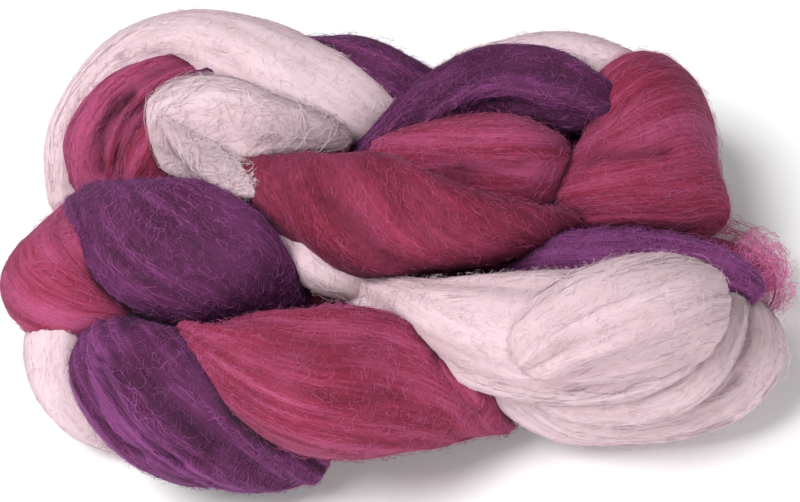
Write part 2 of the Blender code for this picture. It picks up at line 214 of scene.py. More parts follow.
# A smaller lock on each loose end, and folds that lie over a lay. The solids leave them out.
LOOSE_LOCKS = {
    "pink_tail": Lay(PINK, "middle run", (
        (-67, 34, 56, 7, 3), (-63, 26.5, 56.5, 9, 3.2), (-58.5, 19.5, 56.5, 9.5, 3.2),
        (-54, 13.5, 56, 8.5, 3), (-49, 6, 58, 6.5, 2.4), (-45, 0, 60, 4, 1.8), (-42, -3.5, 60.4, 1.6, 1),
    )),
    "raspberry_curl": Lay(RASPBERRY, "right end", (
        (102, 6, 26, 4, 4), (108, 2, 26, 5, 4.5), (112, -3.5, 25, 5, 4.5), (112.5, -10, 24, 5, 4),
        (110.5, -15.5, 23, 4, 3.5), (108, -17.5, 22, 2.5, 2.5),
    )),
}
FOLDS = {
    "pink_front_fold": Lay(PINK, "front run", (
        (33.5, -60, 53.5, 4, 7), (38, -58, 56.8, 10, 11.5), (49, -53, 59.6, 14.5, 13.8),
        (60, -49, 60.4, 16, 14.5), (72, -44, 58.4, 16, 14.5), (82.5, -39, 54.2, 14, 13.5),
        (89, -36, 50, 11, 11), (92.5, -35.5, 48.8, 6, 7),
    ), locks=1.3),
    "pink_rim_fold": Lay(PINK, "front rim", (
        (37, -56.5, 38, 3, 4), (46.5, -59.5, 36, 5, 6), (58, -59.5, 34, 6, 6.5),
        (68.5, -58.5, 34, 6.5, 7), (83, -53.5, 36, 6.5, 7), (92.5, -43.5, 38, 6, 6.5),
        (97, -32.5, 39, 5, 6), (98, -23, 36, 3, 4),
    ), locks=0.8),
    "raspberry_front_tip": Lay(RASPBERRY, "front run", (
        (7, -45.5, 49, 2, 2), (10, -50, 47.5, 4, 3.2), (13.5, -54.5, 43.8, 5.5, 3.6),
        (17.5, -56.5, 38.8, 5.6, 3.6), (20.5, -57.5, 34, 4.6, 3.2), (22.5, -58.5, 30.5, 3, 2.2),
    ), locks=0.6),
}

# Creases pressed into a lay. Columns: width, depth, and the points that the crease runs through.
CREASES = {
    "pink_front": (
        (3.2, 2.2, ((50, -35, 67), (49, -45, 69), (44, -51, 69), (38, -57, 67), (35, -62, 63))),
        (2.6, 1.8, ((35, -62, 63), (37, -65, 59), (43, -66, 54), (54, -66, 50), (69, -63, 49))),
        (2.4, 1.0, ((14, -42, 64), (20, -51, 63), (25, -57, 61))),
    ),
    "pink_front_rim": ((2.0, 1.6, ((47, -57, 28), (64, -56, 24), (85, -53, 25), (98, -46, 29))),),
    "raspberry_turn_right": ((2.8, 1.5, ((50, 13, 56), (59, 14, 58), (68, 13, 60), (79, 15, 60))),),
    "raspberry_crescent": (
        (2.0, 2.6, ((-91, 28, 34), (-91, 33, 42), (-88, 39, 47), (-82, 43, 51))),
        (1.6, 1.6, ((-86, 28, 36), (-85, 33, 43), (-82, 38, 47), (-76, 41, 50))),
    ),
    "pink_upper_arc": (
        (2.4, 1.8, ((-85, 58, 51), (-76, 58, 53), (-65, 55, 52))),
        (1.8, 1.4, ((-56, 56, 58), (-50, 49, 56), (-47, 45, 51))),
    ),
    "purple_front_left": (
        (1.3, 2.4, ((-91, -50, 47), (-91, -59, 48), (-88, -66, 47), (-81, -76, 40), (-75, -80, 38))),
        (1.4, 3.0, ((-87, -54, 52), (-85, -61, 52), (-81, -69, 50), (-75, -76, 47), (-63, -82, 36))),
        (1.6, 4.0, ((-83, -55, 54), (-80, -65, 53), (-75, -72, 51), (-69, -78, 47), (-55, -82, 34))),
        (1.2, 2.0, ((-78, -56, 54), (-73, -66, 53), (-68, -72, 51), (-61, -75, 46), (-49, -81, 33))),
    ),
    "raspberry_front": ((1.4, 1.8, ((10, -55, 49), (18, -59, 40), (23, -60, 32))),),
    "raspberry_centre": ((1.8, 1.2, ((9, 8, 55), (24, 6, 61), (38, 8, 62))),),
    "raspberry_middle": (
        (2.4, 1.0, ((-29, -4, 68), (-16, -18, 70), (-3, -28, 61))),
        (2.0, 1.0, ((6, -16, 73), (17, -22, 69), (29, -23, 56))),
    ),
    "purple_top_crossing": ((1.8, 1.2, ((10, 28, 54), (21, 33, 58), (36, 32, 60))),),
    "pink_loose_end": (
        (2.0, 2.4, ((-75, 20, 52), (-71, 18, 52), (-66, 17, 52), (-62, 16, 55))),
        (1.8, 2.2, ((-53, 18, 60), (-51, 14, 57), (-47, 11, 54))),
        (1.4, 2.0, ((-42, 17, 59), (-39, 19, 59), (-36, 19, 57))),
    ),
    "pink_front_fold": (
        (2.6, 1.0, ((42, -64, 66), (52, -59, 72), (62, -52, 74), (74, -44, 70))),
        (2.4, 0.9, ((46, -68, 62), (58, -66, 64), (70, -62, 64), (82, -56, 60))),
    ),
}

# Fibre ridges on a skin. Columns: width across the fibres, length along them, height.
LOCKS = ((8.0, 70.0, 0.7), (3.6, 45.0, 0.5), (1.7, 24.0, 0.3))
MID_RIDGE = 0.8  # where the lay's own surface is, between the grooves at 0 and the tops at 2

# A kind of fibre ribbon. askew, swing and curl are degrees of heading, wave is the length of one
# swing, lift is the height above the skin, roll is how far a ribbon may be turned out of the skin,
# steps is how many points it has, loose is the share of its lift that grows to its end, and
# pale_roll is the roll on pink wool.
Kind = namedtuple("Kind", "per_square_cm length width lift askew swing wave curl roll steps loose pale_roll")
STRAND = Kind(48, (6, 20), (0.15, 0.28), (-0.06, 0.15), 8, 12, 14, 0, 20, 4, 0, 3)
FRIZZ = Kind(108, (1.8, 6.5), (0.08, 0.14), (0.0, 0.40), 42, 55, 3.5, 110, 30, 4, 0.15, 5)
FUZZ = Kind(42, (1.6, 4.8), (0.07, 0.11), (0.3, 2.1), 60, 50, 4, 110, 90, 4, 0.8, 50)
FLYAWAY = Kind(3, (4, 12), (0.07, 0.11), (0.5, 3.0), 50, 50, 6, 200, 90, 9, 0.5, 90)
TUFT = Kind(150, (8, 24), (0.12, 0.22), (-0.08, 0.25), 6, 26, 13, 0, 10, 7, 0.1, 5)
SHAG = Kind(20, (8, 24), (0.10, 0.17), (0.2, 3.0), 14, 26, 10, 70, 60, 9, 0.7, 30)
WISP = Kind(44, (6, 20), (0.10, 0.17), (-3.0, 4.5), 60, 60, 6, 420, 90, 16, 0.5, 90)
OPEN_TURNS = (-40, 220)  # the outer side of a section: fibres start on it, and skins are finer there
OPEN_GIRTH = 0.64  # the share of a lay's girth that this side is counted as
FIBRE_STARTS = (0.03, 0.97)  # the shares of a lay's length between which its fibres start
FIBRE_ENDS = (0.01, 0.99)  # and between which they stay
LONGEST = 0.8  # no fibre is longer than this share of its lay
IN_STEP = 0.3  # how far fibres without curl are out of step with their neighbours, in turns
LEAST_CURL = 0.3  # the straightest fibre's share of its kind's curl
LOW_LYING = 1.5  # the power that keeps more fibres low than high
ROOTED = 0.35  # how far a fibre's ends sink into the skin
TIP, WIDENING = 0.25, 5  # a ribbon's tip as a share of its width, and how fast it widens from there
BURIED = 0.8  # a fibre this deep in another lay doesn't show
OWN_TINT = 0.35  # how much lighter or darker than its streak a fibre may be
RUNS_APART = 500.0  # how far apart fibres lie in the noise along them
LOWEST = 0.15  # every point is kept at least this far above what the hank lies on

STREAK = 0.55  # how much darker or lighter all the fibres of one streak are
STREAKS = ((2.8, 60.0, 0.6), (1.1, 35.0, 0.6))  # width, length and share of each size of streak
SKIN_STREAK = 0.32  # how much a streak moves a skin's shade
CREASE_REACH = 3.0  # how far from another lay the painted shade of the crease between them starts
PROBE = 1.5  # how far outwards and up from a point another lay is looked for
GROOVE_DEPTH = 2.6  # a groove this deep gets as much painted shade as a crease

SKIN_LONG = 1.5  # how much further apart a skin's points are along its fibres
SKIN_INNER = 4  # how many times fewer they are on a lay's inner side
FEWEST_ROWS, FEWEST_SIDES = 24, 20
SKIN_MARGIN, SKIN_PART = 0.004, 0.992  # where a skin starts, and the share of a lay that it covers
ROPE_RINGS, ROPE_SIDES = 130, 24
ROPE_INSET = 0.88  # the inner rope is this much thinner than in the solid, to stay under the skins
ROPE_DYES = (RASPBERRY, PURPLE, RASPBERRY)  # its strands, painted all in their dyes' shadow colour as painted shade
FLOOR_SIDE = 4.0  # metres
AIM = (0.0, 0.0, 30.0)  # what the camera looks at, before the shift
# The depth attribute holds how deep in a crease or groove each point lies, which sets its painted shade.
UV_NAME, SHADE_DEPTH_NAME, TONE_NAME = "flow", "depth", "tone"

# The finish of each dye. shadow is the colour of the painted shade in its deepest creases, dark is how far
# its darkest streaks go towards that, crease is how dark that painted shade is in its creases, rim is the
# tint of its sheen, and frizz is its share of the usual number of frizzy fibres.
Dye = namedtuple("Dye", "shadow dark crease rim frizz")
DYES = {
    PINK: Dye((0.34, 0.20, 0.24), 0.26, 0.35, (0.55, 0.44, 0.47), 0.6),
    RASPBERRY: Dye((0.035, 0.003, 0.010), 0.52, 0.93, (0.62, 0.26, 0.50), 1.0),
    PURPLE: Dye((0.012, 0.003, 0.010), 0.58, 0.93, (0.42, 0.18, 0.46), 1.0),
}

# The finish of each loose end. body is its inner tuft as a share of its form, and lock_body that of
# its smaller lock, which has lock_density times the fibres. gain scales its wool's colours: below 1 on
# the pink end, painted shade that offsets how directly the tuft faces the key light, and above 1 on the
# raspberry end, for its paler thin fibres and partly painted light that offsets the shade among them.
# crease is how dark the painted shade in its creases is, and root and tip are its fibres' two shades.
Loose = namedtuple("Loose", "kinds body lock lock_body lock_density gain crease root tip")
FINISHES = {
    "pink_loose_end": Loose(
        (TUFT, SHAG, FUZZ), 1.0, "pink_tail", 0.55, 2.0, 0.93, 0.35, "dark", (0.6138, 0.4836, 0.5208)
    ),
    "raspberry_loose_end": Loose(
        (WISP,), 0.28, "raspberry_curl", 0.07, 1.3, 1.35, 0.3, "light", (0.675, 0.2025, 0.432)
    ),
}

SEEDS = {"strands": 11, "frizz": 12, "loose_ends": 13, "fuzz": 14}  # for the random draws

# Lays that are lighter, or below 0 darker, than their dye, and lays with more or less fuzz.
TONES = {
    "raspberry_crescent": 1.0,
    "raspberry_turn_left": 0.38,
    "raspberry_turn_right": 0.15,
    "raspberry_front": 0.26,
    "raspberry_front_tip": 0.34,
    "raspberry_centre": 0.24,
    "raspberry_middle": -0.36,
    "purple_front_left": 0.08,
    "purple_middle_left": 0.05,
    "purple_middle_right": 0.30,
    "purple_top_crossing": -0.10,
    # pink_front and pink_front_fold are darker to offset how directly they face the key light: painted
    # shade.
    "pink_front": -0.42,
    "pink_front_fold": -0.60,
}
FUZZ_SHARE = {
    "pink_upper_arc": 0.6,
    "pink_front": 0.5,
    "pink_front_fold": 0.5,
    "pink_front_rim": 0.5,
    "purple_middle_right": 2.6,
    "raspberry_turn_right": 1.4,
    "purple_front_left": 1.4,
}


def unit(vectors):
    """The same vectors at length 1."""
    return vectors / np.maximum(np.linalg.norm(vectors, axis=-1, keepdims=True), 1e-9)


def square_to(vectors, along):
    """The part of each vector that is square to the direction beside it, at length 1."""
    return unit(vectors - (vectors * along).sum(-1, keepdims=True) * along)


def lengths(points):
    """The distance from each point of a line to the next."""
    return np.linalg.norm(np.diff(points, axis=0), axis=1)


def run_of(points):
    """How far along a line each of its points is."""
    return np.concatenate([[0.0], np.cumsum(lengths(points))])


def smooth_rows(rows, count):
    """A table's rows read at count even steps of its length, on cubics whose slope at each row is
    the mean of the slopes on its two sides, each weighted by the other side's length."""
    table = np.array(rows, float)
    steps, at = lengths(table[:, :3]), run_of(table[:, :3])
    chords = np.diff(table, axis=0) / steps[:, None]
    both = (steps[1:] + steps[:-1])[:, None]
    middle = (chords[:-1] * steps[1:, None] + chords[1:] * steps[:-1, None]) / both
    slopes = np.concatenate([chords[:1], middle, chords[-1:]])
    wanted = np.linspace(0.0, at[-1], count)
    i = np.clip(np.searchsorted(at, wanted, side="right") - 1, 0, len(table) - 2)
    long = steps[i][:, None]
    s = (wanted - at[i])[:, None] / long
    return (
        table[i] * (2 * s**3 - 3 * s**2 + 1)
        + slopes[i] * long * (s**3 - 2 * s**2 + s)
        + table[i + 1] * (3 * s**2 - 2 * s**3)
        + slopes[i + 1] * long * (s**3 - s**2)
    )


def smooth_line(points):
    """A smooth line through a few points, as about one point for each millimetre."""
    rows = np.array(points, float)
    return smooth_rows(rows, max(8, int(lengths(rows).sum())))


def facing(middles, along, core):
    """The outward direction of each section: away from the nearest point of the core line, evened
    out along the lay."""
    start, end = (np.array(point, float) for point in core)
    share = np.clip((middles - start) @ (end - start) / ((end - start) @ (end - start)), 0.0, 1.0)
    outward = square_to(middles - start - share[:, None] * (end - start), along)
    for _ in range(EVENING_PASSES):
        outward[1:-1] = outward[:-2] + 2 * outward[1:-1] + outward[2:]
        outward = square_to(outward, along)
    return outward


def rounded(values):
    """Sine or cosine values drawn towards a fuller, squarer section."""
    return np.sign(values) * np.abs(values) ** SQUARENESS


def noise(turns, along, cells, seed):
    """Smooth random values from -1 to 1. turns wraps round at 1 and holds that many cells, along
    counts cells, and a value is the smoothstep blend of the four random numbers round it."""
    table = np.random.default_rng(seed).uniform(-1.0, 1.0, (cells, 64))
    x, y = np.broadcast_arrays(turns * cells, along)
    i, j = np.floor(x).astype(int), np.floor(y).astype(int)
    fx, fy = x - i, y - j
    fx, fy = fx * fx * (3 - 2 * fx), fy * fy * (3 - 2 * fy)
    i, j, i1, j1 = i % cells, j % 64, (i + 1) % cells, (j + 1) % 64
    low = table[i, j] * (1 - fx) + table[i1, j] * fx
    high = table[i, j1] * (1 - fx) + table[i1, j1] * fx
    return low * (1 - fy) + high * fy


class Form:
    """The form of one lay. place() is its function of two parameters: the share of its length, and
    the turn round its section, where 90 degrees is its outer side."""

    def __init__(self, name, lay, seed):
        table = smooth_rows(lay.rows, STATIONS)
        self.middle = table[:, :3]
        steps = lengths(self.middle)
        self.length = steps.sum()
        self.along = unit(np.gradient(self.middle, axis=0))
        self.outward = facing(self.middle, self.along, CORES[lay.core])
        self.across = np.cross(self.along, self.outward)
        half = np.maximum(table[:, 3:], SMALLEST)
        from_end = np.minimum(np.linspace(0.0, 1.0, STATIONS), np.linspace(1.0, 0.0, STATIONS))
        drawn = np.sqrt(1 - (1 - np.clip(from_end / END_SHARE, 0.0, 1.0)) ** 2)
        self.half = half * np.maximum(drawn, POINTED)[:, None]
        self.radius = float(half.mean())
        lean = np.tan(np.radians(np.interp(np.linspace(0, 1, STATIONS - 1), (0, 1), lay.lean)))
        self.turned = np.concatenate([[0.0], np.cumsum(lean * steps / half[1:].mean(1))])
        self.creases = [(wide, deep, smooth_line(points)) for wide, deep, points in CREASES.get(name, ())]
        self.name, self.dye, self.locks, self.seed = name, lay.dye, lay.locks, seed

    def read(self, values, share):
        """One of the station tables, read at the given shares of the length."""
        at = np.clip(share, 0.0, 1.0) * (STATIONS - 1)
        i = np.minimum(at.astype(int), STATIONS - 2)
        part = at - i
        if values.ndim > 1:
            part = part[..., None]
        return values[i] * (1 - part) + values[i + 1] * part

    def flow(self, share, turn):
        """The turn at which a fibre that passes here started, from 0 to 1."""
        return ((turn - self.read(self.turned, share)) / (2 * np.pi)) % 1.0

    def cells(self, wide, fewest):
        """How many cells of about this width go round the lay."""
        return max(fewest, round(2 * np.pi * self.radius / wide))

    def ridges(self, share, turn):
        """Height of the fibre ridges in millimetres: the sum of LOCKS, each a folded noise that is
        narrow across the fibres and long along them, so that it has soft tops and sharp creases."""
        flow = self.flow(share, turn)
        run = share * self.length
        height = 0.0
        for number, (wide, long, deep) in enumerate(LOCKS):
            folded = np.abs(noise(flow, run / long, self.cells(wide, 3), self.seed * 10 + number))
            height = height + deep * self.locks * (2 * folded - MID_RIDGE)
        return height

    def streaks(self, share, turn):
        """How light the wool is, where 0.5 is its dye's own shade: the lay's tone, plus streaks that
        run along its fibres and are stronger where its ridges are deeper."""
        light = 0.5 + TONES.get(self.name, 0.0)
        for number, (wide, long, part) in enumerate(STREAKS):
            cells, seed = self.cells(wide, 6), self.seed + 100 * number
            streak = noise(self.flow(share, turn), share * self.length / long, cells, seed)
            light = light + STREAK * self.locks * part * streak
        return light

    def place(self, share, turn, lift=0.0):
        """Points, outward directions and the relief there: the section's middle, plus cos(turn) half
        widths across and sin(turn) half depths outwards, both a little squared, plus the relief and
        the lift along the normal. The relief is the ridges, less the depth of each crease times a
        bell curve of the distance from its line."""
        tables = (self.middle, self.outward, self.across, self.half)
        middle, outward, across, half = (self.read(table, share) for table in tables)
        cos, sin = np.cos(turn), np.sin(turn)
        wide = half[..., 0]
        deep = half[..., 1] * np.where(sin < 0, ROOT_DEPTH, 1.0)
        point = middle + (rounded(cos) * wide)[..., None] * across
        point = point + (rounded(sin) * deep)[..., None] * outward
        normal = unit((cos / wide)[..., None] * across + (sin / deep)[..., None] * outward)
        ends = np.clip(np.minimum(share, 1 - share) / END_SHARE, 0.0, 1.0)
        relief = self.ridges(share, turn) * ends
        for width, depth, line in self.creases:
            away = np.full(point.shape[:-1], np.inf)
            for spot in line:
                away = np.minimum(away, ((point - spot) ** 2).sum(-1))
            relief = relief - depth * np.exp(-away / width**2)
        return point + (relief + lift)[..., None] * normal, normal, relief

    def gap(self, points):
        """About how many millimetres each point is outside this lay, and less than 0 inside it."""
        every = slice(0, STATIONS, 3)
        near = ((points[:, None] - self.middle[every]) ** 2).sum(-1).argmin(1)
        tables = (self.middle, self.across, self.outward, self.along, self.half)
        middle, across, outward, along, half = (table[every][near] for table in tables)
        away = points - middle
        x, y, z = ((away * axis).sum(-1) for axis in (across, outward, along))
        deep = half[:, 1] * np.where(y < 0, ROOT_DEPTH, 1.0)
        from_middle = np.hypot(x, y)
        inside = from_middle / np.maximum(np.hypot(x / half[:, 0], y / deep), 1e-6)
        return np.maximum(from_middle - inside, np.abs(z) - self.length / STATIONS * 2.5)


# The forms of all the lays, worked out once and read by everything below.
FORMS = {
    name: Form(name, lay, seed)
    for seed, (name, lay) in enumerate({**LAYS, **LOOSE_ENDS, **LOOSE_LOCKS, **FOLDS}.items())
}


def lays_of(dye):
    """The names of the lays and folds of one dye."""
    return [name for name in (*LAYS, *FOLDS) if FORMS[name].dye == dye]


def gap_to_others(points, own):
    """How far each point is from the nearest other lay, up to CREASE_REACH, and below 0 inside one."""
    gap = np.full(len(points), CREASE_REACH)
    for form in FORMS.values():
        if form is not own:
            spread = form.half.max() * ROOT_DEPTH + CREASE_REACH
            low, high = form.middle.min(0) - spread, form.middle.max(0) + spread
            near = np.flatnonzero(((points > low) & (points < high)).all(1))
            if len(near):
                gap[near] = np.minimum(gap[near], form.gap(points[near]))
    return gap


def crease_shade_depth(points, normals, relief, own):
    """From 0 to 1, how deep in a crease each point lies, which sets how much painted shade it gets: a little
    outwards and up from it there is another lay, or it lies in a groove of its own."""
    probes = points + normals * PROBE + (0.0, 0.0, PROBE)
    gap = gap_to_others(probes.reshape(-1, 3), own).reshape(relief.shape)
    between = np.clip(1 - gap / CREASE_REACH, 0.0, 1.0)
    groove = np.clip(-relief / GROOVE_DEPTH, 0.0, 1.0)
    return 1 - (1 - between) * (1 - groove)


def mesh_object(name, points, faces, corners, material):
    """A smooth-shaded object from points in metres, a list of face arrays, and an array of UV pairs
    for each face array's corners."""
    mesh = bpy.data.meshes.new(name)
    counts = np.concatenate([np.full(len(f), f.shape[1]) for f in faces])
    mesh.vertices.add(len(points))
    mesh.vertices.foreach_set("co", points.ravel().astype(np.float32))
    mesh.loops.add(int(counts.sum()))
    mesh.loops.foreach_set("vertex_index", np.concatenate([f.ravel() for f in faces]).astype(np.int32))
    mesh.polygons.add(len(counts))
    starts = np.concatenate([[0], np.cumsum(counts)[:-1]])
    mesh.polygons.foreach_set("loop_start", starts.astype(np.int32))
    mesh.polygons.foreach_set("use_smooth", np.ones(len(counts), bool))
    pairs = np.concatenate([c.reshape(-1, 2) for c in corners])
    mesh.uv_layers.new(name=UV_NAME).uv.foreach_set("vector", pairs.astype(np.float32).ravel())
    mesh.update()
    mesh.materials.append(material)
    made = bpy.data.objects.new(name, mesh)
    bpy.context.scene.collection.objects.link(made)
    return made


class Parts:
    """Grids of points, gathered into one mesh."""

    def __init__(self):
        self.points, self.quads, self.tris, self.depths, self.tones = [], [], [], [], []
        self.quad_corners, self.tri_corners = [], []
        self.count = 0

    def tube(self, rings, places, depth, tone):
        """A closed tube: rings of points, wrapped round, with a pole at each end. places holds the
        UV pairs, with one column more than the rings, so that the seam's two sides differ. depth
        says how deep in a crease each point lies, which sets the painted shade there, and tone how light the
        wool is there."""
        n, sides = rings.shape[:2]
        poles = rings[[0, -1]].mean(1)
        self.points.append(np.concatenate([rings.reshape(-1, 3), poles]))
        for kept, values in ((self.depths, depth), (self.tones, tone)):
            kept.append(np.concatenate([values.ravel(), values[[0, -1]].mean(1)]))
        k = np.arange(sides)
        after = (k + 1) % sides
        row = np.arange(n - 1)[:, None] * sides
        quads = np.stack([row + k, row + after, row + sides + after, row + sides + k], -1)
        self.quads.append(self.count + quads.reshape(-1, 4))
        corner = np.stack([places[:-1, :-1], places[:-1, 1:], places[1:, 1:], places[1:, :-1]], 2)
        self.quad_corners.append(corner.reshape(-1, 4, 2))
        last = (n - 1) * sides
        start_pole, end_pole = np.full(sides, n * sides), np.full(sides, n * sides + 1)
        first_cap = np.stack([start_pole, after, k], -1)
        last_cap = np.stack([end_pole, last + k, last + after], -1)
        self.tris.append(self.count + np.concatenate([first_cap, last_cap]))
        for places_row, turned in ((places[0], True), (places[-1], False)):
            a, b = places_row[:-1], places_row[1:]
            pair = (b, a) if turned else (a, b)
            self.tri_corners.append(np.stack([(a + b) / 2, *pair], 1))
        self.count += n * sides + 2

    def ribbons(self, points, sides, run, tint, depth):
        """Open ribbons: for each, points down its middle and half-width vectors to its two edges.
        Its UV is the metres run along it, and its own tint."""
        n, steps = points.shape[:2]
        self.points.append(np.stack([points - sides, points + sides], 2).reshape(-1, 3))
        self.depths.append(np.repeat(depth.ravel(), 2))
        self.tones.append(np.repeat(tint, steps * 2))
        start = self.count + (np.arange(n) * steps * 2)[:, None] + np.arange(steps - 1) * 2
        self.quads.append(np.stack([start, start + 1, start + 3, start + 2], -1).reshape(-1, 4))
        low, high = run[:, :-1] * MM, run[:, 1:] * MM
        across = np.broadcast_to(tint[:, None], low.shape)
        corner = np.stack([low, across, low, across, high, across, high, across], -1)
        self.quad_corners.append(corner.reshape(-1, 4, 2))
        self.count += n * steps * 2

    def made(self, name, material):
        """One object of all the grids, moved to the hank's place and kept above what it lies on."""
        placed = np.concatenate(self.points) + SHIFT
        placed[..., 2] = np.maximum(placed[..., 2], LOWEST)
        faces, corners = [np.concatenate(self.quads)], [np.concatenate(self.quad_corners)]
        if self.tris:
            faces.append(np.concatenate(self.tris))
            corners.append(np.concatenate(self.tri_corners))
        made = mesh_object(name, placed * MM, faces, corners, material)
        for attribute, values in ((SHADE_DEPTH_NAME, self.depths), (TONE_NAME, self.tones)):
            layer = made.data.attributes.new(attribute, "FLOAT", "POINT")
            layer.data.foreach_set("value", np.concatenate(values).astype(np.float32))
        return made


def skin_turns(outer, inner):
    """Turns round a section, close together on its outer side and further apart on its inner side."""
    low, high = np.radians(OPEN_TURNS)
    close = np.linspace(low, high, outer, endpoint=False)
    return np.concatenate([close, np.linspace(high, low + 2 * np.pi, inner, endpoint=False)])


def add_skin(parts, form, full=1.0):
    """A lay's skin on a grid of shares and turns, evenly spaced on its outer side. full is its size,
    as a share of the form."""
    step = bpy.context.scene.roving_fibres.grid / MM
    rows = max(FEWEST_ROWS, int(form.length / (step * SKIN_LONG)))
    outer = max(FEWEST_SIDES, int(2 * np.pi * form.radius * OPEN_GIRTH / step))
    turns = skin_turns(outer, outer // SKIN_INNER)
    edge = np.concatenate([turns, turns[:1] + 2 * np.pi])
    share = (np.linspace(0.0, 1.0, rows) + SKIN_MARGIN)[:, None] * SKIN_PART
    rings, normals, relief = form.place(share, turns[None, :])
    middles = form.read(form.middle, share)
    rings = middles + (rings - middles) * full
    depth = crease_shade_depth(rings, normals, relief, form)
    run = np.broadcast_to(share * form.length * MM, (rows, len(edge)))
    turned = form.read(form.turned, share[:, 0])[:, None]
    around = (edge[None, :] - turned) * form.radius * MM
    tone = form.streaks(share, turns[None, :])
    parts.tube(rings, np.stack([run, around], -1), depth, tone)


def add_rope(parts, number):
    """One of the strands inside the hank: its middle goes round the rope's middle line once in each
    PITCH, as a flattened round section whose flat side faces outwards."""
    table = smooth_rows(ROPE, ROPE_RINGS)
    middles, radius = table[:, :3], table[:, 3:]
    along = unit(np.gradient(middles, axis=0))
    up = square_to(np.array([[0.0, 0.0, 1.0]]), along)
    side = np.cross(along, up)
    run = run_of(middles)
    turn = (2 * np.pi * (number / len(ROPE_DYES) - run / PITCH))[:, None]
    outward = np.cos(turn) * up + np.sin(turn) * side
    strand = middles + STRAND_OUT * radius * outward
    along = unit(np.gradient(strand, axis=0))
    outward = square_to(outward, along)
    across = np.cross(along, outward)
    angle = np.linspace(0.0, 2 * np.pi, ROPE_SIDES + 1)
    wide, deep = STRAND_WIDE * radius[:, None] * ROPE_INSET, STRAND_DEEP * radius[:, None] * ROPE_INSET
    rings = (
        strand[:, None]
        + wide * np.cos(angle[:-1])[None, :, None] * across[:, None]
        + deep * np.sin(angle[:-1])[None, :, None] * outward[:, None]
    )
    places = np.stack(np.broadcast_arrays(run[:, None] * MM, angle[None] * radius * MM), -1)
    # Every point gets crease depth 1, so the rope takes its dye's shadow colour all over: painted shade in
    # the gaps between the lays.
    flat = np.ones(rings.shape[:2])
    parts.tube(rings, places, flat, flat / 2)


def half_widths(points, normals, width, roll, taper):
    """Half-width vectors: square to the ribbon's run, turned by its roll out of the surface, and
    narrowing to its ends."""
    along = unit(np.gradient(points, axis=1))
    flat = unit(np.cross(normals, along))
    up = np.cross(along, flat)
    roll = roll[:, None, None]
    return (width[:, None] * taper / 2)[..., None] * (np.cos(roll) * flat + np.sin(roll) * up)


def add_fibres(parts, form, kind, rng, density=1.0):
    """Ribbons of one kind on a lay. Each starts at a random place and follows the lay's flow, plus a
    heading that swings as a sine of its length, in step with its neighbours unless it curls on
    round. It rises from the skin and sinks back as the square root of a sine, or stays up at its end
    if its kind is loose."""
    area = form.length * 2 * np.pi * form.radius * OPEN_GIRTH
    count = int(area / 100.0 * kind.per_square_cm * density)
    s = np.linspace(0.0, 1.0, kind.steps)[None, :]
    long = np.minimum(rng.uniform(*kind.length, (count, 1)), form.length * LONGEST)
    share0 = rng.uniform(*FIBRE_STARTS, (count, 1))
    turn0 = np.radians(rng.uniform(*OPEN_TURNS, (count, 1)))
    phase = rng.random((count, 1))
    if not kind.curl:
        phase = IN_STEP * phase + share0 * form.length / kind.wave
    heading = np.radians(
        rng.normal(0.0, kind.askew, (count, 1))
        + kind.swing * np.sin(2 * np.pi * (s * long / kind.wave + phase))
        + kind.curl * rng.choice((-1, 1), (count, 1)) * rng.uniform(LEAST_CURL, 1.0, (count, 1)) * s
    )
    step = long / (kind.steps - 1)
    ahead = np.cumsum(np.cos(heading) * step, 1)
    aside = np.cumsum(np.sin(heading) * step, 1)
    ahead, aside = ahead - ahead.mean(1, keepdims=True), aside - aside.mean(1, keepdims=True)
    share = share0 + ahead / form.length
    low, high = FIBRE_ENDS
    over = np.maximum(share.max(1) - high, 0) - np.maximum(low - share.min(1), 0)
    share = np.clip(share - over[:, None], low, high)
    radius = form.read(form.half, share).mean(-1)
    lean = form.read(form.turned, share) - form.read(form.turned, share0)
    turn = turn0 + lean + aside / radius
    arch = np.sin(np.pi * s) ** 0.5
    if kind.loose:
        arch = arch * (1 - kind.loose) + s * kind.loose
    low, high = kind.lift
    risen = low + rng.uniform(0.0, 1.0, (count, 1)) ** LOW_LYING * (high - low) * arch
    lift = risen - ROOTED * (1 - arch)
    points, normals, relief = form.place(share, turn, lift)
    gap = gap_to_others(points.reshape(-1, 3), form).reshape(relief.shape)
    keep = (gap.min(1) > -BURIED) & (points[..., 2].min(1) + SHIFT[2] > 0.0)
    points, normals, relief = points[keep], normals[keep], relief[keep]
    depth = crease_shade_depth(points, normals, relief, form)
    widest = kind.pale_roll if form.dye == PINK else kind.roll
    roll = np.radians(rng.uniform(-widest, widest, count))[keep]
    width = rng.uniform(*kind.width, count)[keep]
    taper = np.clip(np.minimum(s, 1 - s) * WIDENING + TIP, 0.0, 1.0)
    sides = half_widths(points, normals, width, roll, taper)
    own = rng.uniform(-OWN_TINT, OWN_TINT, count)
    tint = np.clip(form.streaks(share0, turn0)[:, 0] + own, 0.0, 1.0)[keep]
    run = s * long + rng.uniform(0.0, RUNS_APART, (count, 1))
    parts.ribbons(points, sides, run[keep], tint, depth)


class Signal:
    """A number that changes over a surface: one output socket. Arithmetic on it adds Math nodes."""

    def __init__(self, shader, socket):
        self.shader, self.socket = shader, socket

    def maths(self, operation, *values):
        return self.shader.node("ShaderNodeMath", {"operation": operation}, dict(enumerate(values)))

    def __add__(self, other):
        return self.maths("ADD", self, other)

    def __sub__(self, other):
        return self.maths("SUBTRACT", self, other)

    def __rsub__(self, other):
        return self.maths("SUBTRACT", other, self)

    def __mul__(self, other):
        return self.maths("MULTIPLY", self, other)

    def __pow__(self, other):
        return self.maths("POWER", self, other)

    __radd__, __rmul__ = __add__, __mul__

    def clamped(self):
        return self.shader.node("ShaderNodeClamp", {}, {0: self})


